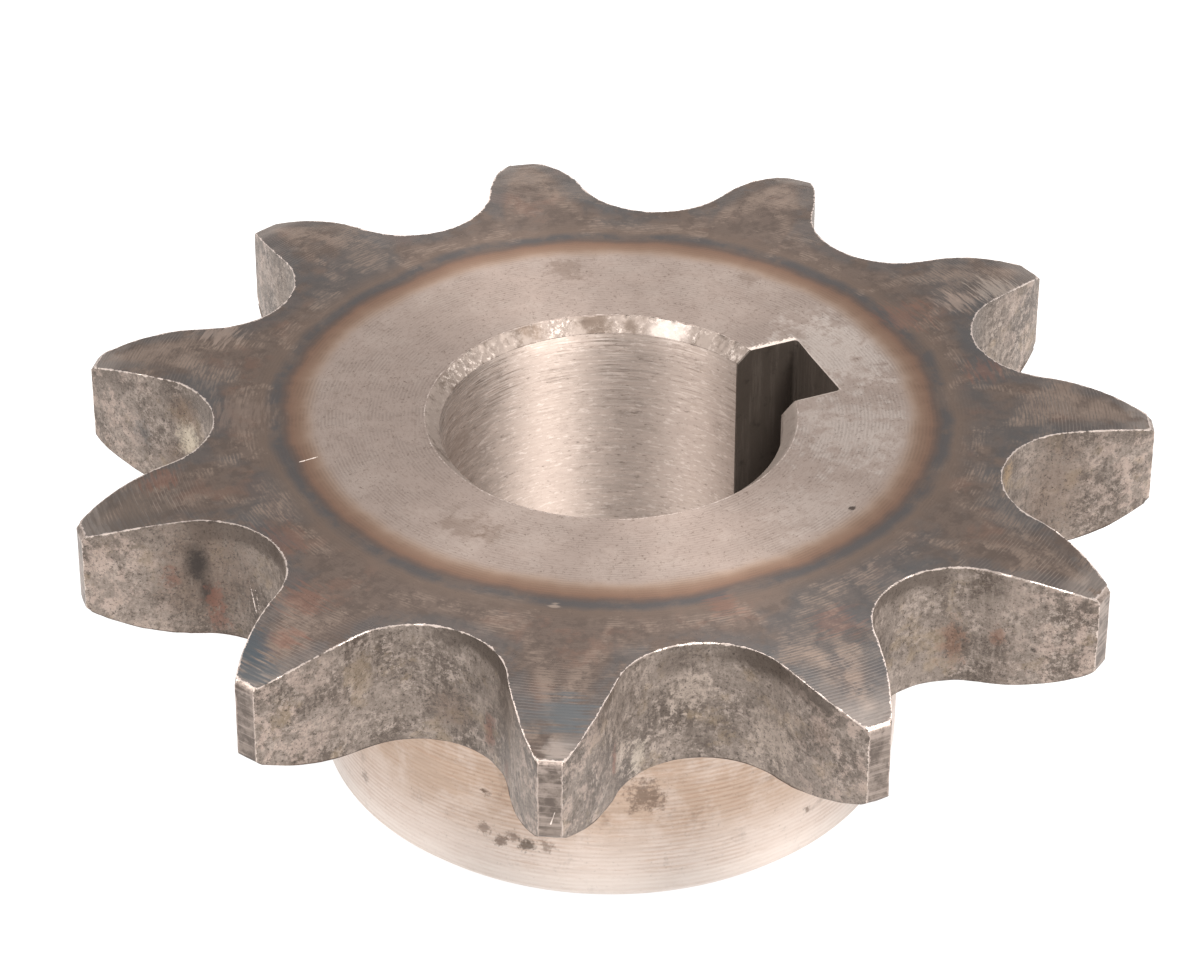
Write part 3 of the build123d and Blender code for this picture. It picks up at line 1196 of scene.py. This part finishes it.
@dataclass
class Sprocket:
    """The whole part: toothed plate, hub, bore and keyway in one closed surface."""

    form: ToothForm = field(default_factory=ToothForm)
    bore: KeyedBore = field(default_factory=KeyedBore)
    plate_top: float = CAD_BOX[1].z / MM
    hub_end: float = CAD_BOX[0].z / MM
    relief_depth: float = 1.45
    relief_radius: float = 15.9
    tip_break: float = 0.25
    hub_radius: float = 17.3
    hub_fillet: float = 1.0
    hub_chamfer: float = 0.8
    web_radius: float = 20.0
    disc_radius: float = 19.0
    disc_shares: tuple[float, ...] = (0.006, 0.02, 0.06, 0.14, 0.28, 0.45, 0.65, 0.85, 1)
    end_shares: tuple[float, ...] = (1, 0.75, 0.5, 0.25, 0.08, 0.02)
    face_rings: int = 11
    underside_rings: int = 7
    flank_rings: int = 12
    bore_rings: int = 15
    hub_rings: int = 9
    fillet_rings: int = 6
    edge_zone: float = 1.5
    edge_steps: tuple[float, ...] = (1.0, 0.62, 0.36, 0.2, 0.1)
    edge_round: float = 0.045
    flank_steps: tuple[float, ...] = (0.12, 0.25, 0.42)
    tip_clearance: float = 0.002
    tip_room: float = 0.3
    mouth_round: float = 0.04
    waves_round: int = 47
    ripples_round: int = 330
    wave: float = 0.035
    ripple: float = 0.018
    dents: tuple[tuple[float, int, int], ...] = ((0.03, 120, 4), (0.012, 420, 12))
    dulled: float = 0.7
    dull_drop: float = 0.3
    burrs_round: int = 700
    burr_height: float = 0.05
    lower_burr_height: float = 0.03
    burr_width: float = 0.06
    chip_depth: float = 0.04
    chip_growth: float = 0.006
    chipped_way: float = radians(-20)
    torn: float = 0.09
    torn_width: float = 0.3
    sharp_angle: float = radians(60)
    seed: int = 17

    def __post_init__(self) -> None:
        """Work out what the drawing's sizes give."""
        self.outline = self.form.outline()
        self.chance = Chance(self.seed)
        self.coarse = self.outline.angle[::2]
        self.relief_start = self.form.tip_radius - sqrt(
            self.relief_depth * (2 * self.relief_radius - self.relief_depth))

    def side(self, radius: Array) -> Array:
        """Height of the plate's upper side: flat, then an arc that leaves it at a tangent and falls."""
        out = np.clip(radius - self.relief_start, 0, None)
        return self.plate_top - (self.relief_radius - np.sqrt(self.relief_radius**2 - out**2))

    def burr(self, high: float) -> Array:
        """The ragged lip along an edge of the teeth: quick and slower noise, cut off at 0 and scaled.

        Args:
            high: Its greatest height.

        Returns:
            Its height at each column.
        """
        fine = self.chance.line(self.outline.turns, self.burrs_round)
        slower = self.chance.line(self.outline.turns, self.burrs_round // 5)
        return high * np.clip(fine + 0.6 * slower, 0, 1)

    def waves(self) -> Array:
        """The wandering of the cut faces along the outline: slow waves and quick, smaller ripples.

        Returns:
            How far each column is pushed outwards.
        """
        slow = self.chance.line(self.outline.turns, self.waves_round)
        quick = self.chance.line(self.outline.turns, self.ripples_round)
        return self.hold(self.wave * slow + self.ripple * quick)

    def hold(self, push: Array) -> Array:
        """Let a push outwards fade to nothing before it reaches the tip circle. A push inwards stays."""
        room = np.clip(self.form.tip_radius - self.tip_room - self.outline.radius, 0, 1)
        return np.where(push > 0, push * room, push)

    def lay_face(self, skin: Skin, up: int) -> None:
        """Lay the plate's upper or lower side between the web and the edge of the teeth.

        The rings keep a set distance from the edge while they are near it, and share out the rest.

        Args:
            skin: The surface.
            up: 1 for the upper side, laid outwards, or -1 for the lower side, laid inwards.
        """
        line = self.outline
        edge = np.minimum(line.radius, self.form.tip_radius - self.tip_break)
        near = np.array([*self.edge_steps, self.edge_round, 0.0])[:, None]
        share = np.linspace(0, 1, self.face_rings if up > 0 else self.underside_rings)[:, None]
        web = self.web_radius + (edge - self.edge_zone - self.web_radius) * share
        radius = np.concatenate([web, edge - near])
        x, y = radius * np.cos(line.angle), radius * np.sin(line.angle)
        upper = np.minimum(line.distance(x, y), (edge - radius) * line.slant)
        z = self.side(radius)
        burr = self.burr(self.burr_height if up > 0 else self.lower_burr_height)
        lip = burr * np.exp(-((edge - radius) / self.burr_width) ** 2)
        dull = self.waves() * np.exp(-(upper / self.dulled) ** 2)
        x, y = x + dull * line.normal[0], y + dull * line.normal[1]
        z = up * np.minimum(z + lip - self.dull_drop * np.abs(dull), self.plate_top)
        order = slice(None, None, up)
        finish = Finish.FACE if up > 0 else Finish.UNDERSIDE
        skin.lay(x[order], y[order], z[order], finish, **{"upper" if up > 0 else "foot": upper[order]})

    def lay_flanks(self, skin: Skin) -> None:
        """Lay the cut faces from the upper edge of the teeth down to the lower one.

        At each column the face is a straight line down, which leans inwards over the broken edges of
        the tip and is pushed in and out by noise.

        Args:
            skin: The surface.
        """
        line = self.outline
        break_start = self.form.tip_radius - self.tip_break
        top = self.side(np.minimum(line.radius, break_start))
        near = np.array([self.edge_round, *self.flank_steps, self.dulled])[:, None]
        share = np.linspace(0, 1, self.flank_rings)[1:-1, None]
        middle = self.dulled + (2 * top - 2 * self.dulled) * share
        depth = np.concatenate([near + 0 * top, middle, 2 * top - near[::-1]])
        inside = np.minimum(line.radius, self.form.tip_radius - self.tip_clearance)
        radius = np.minimum(inside, break_start + np.minimum(depth, 2 * top - depth))
        rise = depth / (2 * top)
        push = self.waves()
        for deep, knots, rows in self.dents:
            push = push + self.hold(deep * self.chance.sheet(line.turns, rise, knots, rows))
        x = radius * np.cos(line.angle) + push * line.normal[0]
        y = radius * np.sin(line.angle) + push * line.normal[1]
        finish = np.where(line.on_land, Finish.LAND.value, Finish.FLANK.value)
        corner = np.broadcast_to(line.to_corner, depth.shape)
        skin.lay(x, y, top - depth, finish, upper=depth, foot=2 * top - depth, corner=corner)

    def lay_round(self, skin: Skin, radius: Sequence[float], z: Sequence[float], finish: Finish) -> None:
        """Lay circles about the bore axis, each of its own radius at its own height."""
        rings, heights = np.array(radius)[:, None], np.array(z)[:, None]
        skin.lay(rings * np.cos(self.coarse), rings * np.sin(self.coarse), heights, finish)

    def lay_disc(self, skin: Skin, outer: float, z: float, shares: Sequence[float], finish: Finish) -> None:
        """Lay a flat ring between the bore's rim and a circle.

        Each column is a straight line from its point on the rim to its point on the circle.

        Args:
            skin: The surface.
            outer: The circle's radius.
            z: The height.
            shares: How far each ring is from the rim, 0, to the circle, 1.
            finish: The finish.
        """
        rim = self.bore.rings(np.array([self.bore.radius + self.bore.chamfer]), self.coarse)
        ragged = self.ragged() if z > 0 else np.zeros_like(self.coarse)
        circle = outer * np.stack([np.cos(self.coarse), np.sin(self.coarse)], -1)
        share = np.array(shares)[:, None, None]
        points = rim + (circle - rim) * share
        lip = np.hypot(*np.moveaxis(points - rim, -1, 0))
        points = points + (ragged * np.exp(-lip / self.torn_width))[..., None] * circle / outer
        skin.lay(points[..., 0], points[..., 1], np.array(z), finish, lip=lip)

    def ragged(self) -> Array:
        """The torn edge at the bore's mouth: quick noise, strong beside the keyway and weak behind it.

        Returns:
            How far the edge wanders outwards at each column.
        """
        chance = Chance(self.seed + 1)
        turns = self.coarse / (2 * pi)
        noise = chance.line(turns, 190) + 0.7 * chance.line(turns, 264)
        place = np.degrees(self.coarse) % 360
        beside_keyway = np.clip(1 - np.abs(place - 12.5) / 5, 0, 1)
        behind = np.clip(1 - np.abs(place - 75) / 70, 0, 1)
        return self.torn * noise * (beside_keyway + 0.35 * behind)

    def lay_bore(self, skin: Skin) -> None:
        """Lay the bore with the keyway, from its lower chamfer up to the upper one.

        The chamfers are rings whose radius shrinks or grows as fast as they rise. The upper one is
        chipped: noise widens it and lowers its rim.

        Args:
            skin: The surface.
        """
        size, cut = self.bore.radius, self.bore.chamfer
        first, keyed = self.bore.span(self.coarse)
        place = (np.arange(len(self.coarse)) - first) % len(self.coarse)
        in_key = (place > 0) & (place <= keyed)
        height = np.linspace(self.hub_end + cut, self.plate_top - cut, self.bore_rings)
        low = np.array([cut, cut / 2, self.mouth_round])
        high = np.array([self.mouth_round, cut / 4, cut / 2, cut * 3 / 4, cut])
        radii = np.concatenate([size + low, np.full(len(height), size), size + high])
        z = np.concatenate([self.hub_end + cut - low, height, self.plate_top - cut + high])[:, None]
        rings = self.bore.rings(radii, self.coarse)
        turns = self.coarse / (2 * pi)
        share = np.clip((z - self.plate_top + cut) / cut, 0, 1)
        rough = np.clip(0.5 + 1.2 * np.sin(self.coarse - self.chipped_way), 0, 1) * ~in_key
        chips = self.chance.sheet(turns, share, 150, 3) + 0.5 * self.chance.sheet(turns, share, 380, 5)
        chips = chips * rough * share
        grow = 1 + self.chip_growth * chips
        grow[-1] += self.ragged() / size
        z = z - self.chip_depth * np.abs(chips)
        walls = np.where(in_key, Finish.KEYWAY.value, Finish.BORE.value)
        rims = np.where(in_key, Finish.KEYWAY.value, Finish.RIM.value)
        wall_end = len(low) + len(height)
        bands = ((0, len(low), rims), (len(low), wall_end, walls), (wall_end, len(z), rims))
        for start, stop, finish in bands:
            x, y = (rings[start:stop] * grow[start:stop, :, None]).transpose(2, 0, 1)
            skin.lay(x, y, z[start:stop], finish)

    def build(self) -> bpy.types.Object:
        """Lay the surface from the bore's upper rim out over the teeth, round the hub and up the bore.

        Returns:
            The piece.
        """
        skin = Skin()
        bottom, end = -self.plate_top, self.hub_end
        hub, cut, soft = self.hub_radius, self.hub_chamfer, self.edge_round
        self.lay_disc(skin, self.disc_radius, self.plate_top, self.disc_shares, Finish.FACE)
        self.lay_face(skin, 1)
        self.lay_flanks(skin)
        self.lay_face(skin, -1)
        turn = np.linspace(0, pi / 2, self.fillet_rings)
        fillet = hub + self.hub_fillet * (1 - np.sin(turn))
        self.lay_round(skin, [self.disc_radius], [bottom], Finish.UNDERSIDE)
        self.lay_round(skin, fillet, bottom - self.hub_fillet * (1 - np.cos(turn)), Finish.UNDERSIDE)
        sides = [*np.linspace(bottom - self.hub_fillet, end + cut, self.hub_rings)[1:-1], end + cut + soft]
        self.lay_round(skin, [hub] * len(sides), sides, Finish.HUB)
        self.lay_round(skin, [hub - soft, hub - cut + soft], [end + cut - soft, end + soft], Finish.HUB)
        self.lay_disc(skin, hub - cut - soft, end, self.end_shares, Finish.HUB)
        self.lay_bore(skin)
        return skin.build("chain_sprocket", self.sharp_angle)

    def finishes(self) -> dict[Finish, bpy.types.Material]:
        """Make the materials, with the stains, the painted shade and sheen spots, and the scratches that this
        one part has.

        Returns:
            The material of each finish.
        """
        face = FaceFinish(sheen_and_smudges=FACE_SHEEN_AND_SMUDGES, stains=FACE_STAINS, scratches=FACE_SCRATCHES)
        flank = FlankFinish(shaded=FLANK_SHADE, stains=FLANK_STAINS_AND_SHADE, scratches=FLANK_SCRATCHES)
        bored = TurnedFinish(
            steel=srgb(184, 170, 161), groove=srgb(160, 145, 134), stain=srgb(108, 94, 84),
            shine=srgb(212, 200, 192), pitch=0.26, grooved=0.3, scored=0.6, rough=0.68, stretch=0.84)
        return {
            Finish.FACE: face.paint("turned_face"),
            Finish.FLANK: flank.paint("cut_flank"),
            Finish.LAND: LandFinish(scratches=LAND_SCRATCHES).paint("tooth_land"),
            Finish.UNDERSIDE: FaceFinish().paint("turned_underside"),
            Finish.HUB: TurnedFinish(plate_darkening=1.0, stains=HUB_STAINS).paint("turned_hub"),
            Finish.BORE: bored.paint("bored_steel"),
            Finish.RIM: RimFinish(stains=RIM_STAINS).paint("chipped_rim"),
            Finish.KEYWAY: KeywayFinish().paint("broached_keyway"),
        }

    def dress(self, piece: bpy.types.Object) -> None:
        """Give the piece its materials, in the order of the finishes."""
        for material in map(self.finishes().get, Finish):
            piece.data.materials.append(material)


# ---------------------------------------------------------------- the studio

CAMERA_TURN = -23.6


@dataclass(frozen=True)
class Softbox:
    """A square area light that points at the sprocket."""

    name: str
    azimuth: float
    elevation: float
    away: float
    size: float
    power: float
    colour: Colour = WHITE

    def hang(self, target: Vector) -> None:
        """Make the light and turn it to its target.

        Args:
            target: The point that it lights, in metres.
        """
        light = bpy.data.lights.new(self.name, "AREA")
        light.shape, light.size = "SQUARE", self.size * MM
        light.energy, light.color = self.power, self.colour
        lamp = bpy.data.objects.new(self.name, light)
        bpy.context.scene.collection.objects.link(lamp)
        level = cos(self.elevation)
        way = Vector((cos(self.azimuth) * level, sin(self.azimuth) * level, sin(self.elevation)))
        place = target + way * self.away * MM
        lamp.matrix_world = Matrix.LocRotScale(place, way.to_track_quat("Z", "Y"), None)


@dataclass(frozen=True)
class Studio:
    """A pale floor, soft light all round and the camera."""

    turned: float = radians(CAMERA_TURN)
    camera_elevation: float = radians(34.155)
    camera_roll: float = radians(0.186)
    camera_away: float = 269.52
    camera_lens: float = 138.606
    camera_sensor: float = 36.0
    camera_range: tuple[float, float] = (0.01, 50.0)
    aim_right: float = -0.646
    aim_up: float = -3.159
    aim_height: float = 2.45
    floor_half: float = 3000.0
    floor_lines: int = 9
    floor_colour: Colour = (0.2, 0.2, 0.2)
    floor_glow: float = 0.92
    sky_colour: Colour = (1.0, 0.995, 0.99)
    sky: float = 0.58
    boxes: tuple[Softbox, ...] = (
        Softbox("key_light", radians(324 + CAMERA_TURN), radians(58), 700, 260, 10.0, (1.0, 0.985, 0.97)),
        Softbox("fill_light", radians(204 + CAMERA_TURN), radians(55), 700, 200, 4.6, (1.0, 0.99, 0.98)),
    )

    def lay_floor(self, height: float) -> None:
        """Lay the floor: a square sheet, as an even grid of points joined by squares.

        Args:
            height: Where it lies, in metres.
        """
        lines, squares = self.floor_lines, np.arange(self.floor_lines - 1)
        line = np.linspace(-self.floor_half, self.floor_half, lines) * MM
        x, y = np.meshgrid(line, line)
        points = np.stack([x, y, np.full_like(x, height)], -1).reshape(-1, 3)
        corner = (squares[:, None] * lines + squares).ravel()
        faces = np.stack([corner, corner + 1, corner + lines + 1, corner + lines], 1)
        mesh = bpy.data.meshes.new("floor")
        mesh.from_pydata(points, [], faces.tolist())
        floor = bpy.data.objects.new("floor", mesh)
        bpy.context.scene.collection.objects.link(floor)
        mesh.materials.append(Paint("pale_floor").finish(
            Base_Color=self.floor_colour, Roughness=0.9, Emission_Color=WHITE,
            Emission_Strength=self.floor_glow, Specular_IOR_Level=0.2))

    def light(self, target: Vector) -> None:
        """Fill the room with even light and hang the softboxes.

        Args:
            target: The point that the softboxes light, in metres.
        """
        world = bpy.data.worlds.new("studio")
        world.use_nodes = True
        sky = world.node_tree.nodes["Background"]
        sky.inputs["Color"].default_value = (*self.sky_colour, 1)
        sky.inputs["Strength"].default_value = self.sky
        bpy.context.scene.world = world
        for box in self.boxes:
            box.hang(target)

    def set_camera(self) -> None:
        """Stand the camera before the piece.

        It looks level along the room, tilted down and rolled a little. Its place is the aim, pushed
        sideways and up in its own picture plane and then straight back.
        """
        tilt, roll = self.camera_elevation, self.camera_roll
        ahead = Vector((0, cos(tilt), -sin(tilt)))
        right = Vector((1, 0, 0))
        up = right.cross(ahead)
        right, up = cos(roll) * right + sin(roll) * up, cos(roll) * up - sin(roll) * right
        aim = Vector((0, 0, self.aim_height)) + self.aim_right * right + self.aim_up * up
        place = aim - self.camera_away * ahead
        data = bpy.data.cameras.new("camera")
        data.lens, data.sensor_width = self.camera_lens, self.camera_sensor
        data.clip_start, data.clip_end = self.camera_range
        camera = bpy.data.objects.new("camera", data)
        bpy.context.scene.collection.objects.link(camera)
        pose = Matrix((right, up, -ahead)).transposed().to_4x4()
        pose.translation = place * MM
        camera.matrix_world = Matrix.Rotation(self.turned, 4, "Z") @ pose
        bpy.context.scene.camera = camera


def main() -> None:
    """Build the sprocket and the studio."""
    logging.basicConfig(level=logging.INFO, format="%(message)s")
    bpy.context.scene.view_settings.view_transform = "Standard"
    studio = Studio()
    studio.set_camera()
    studio.lay_floor(CAD_BOX[0].z)
    studio.light(Vector((0, 0, 0)))

    sprocket = Sprocket()
    piece = sprocket.build()
    sprocket.dress(piece)
    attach(piece, "root")
    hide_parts(NODE)
    triangles = sum(len(polygon.vertices) - 2 for polygon in piece.data.polygons)
    log.info("%s: %d points, %d triangles", piece.name, len(piece.data.vertices), triangles)


if __name__ == "__main__":
    main()
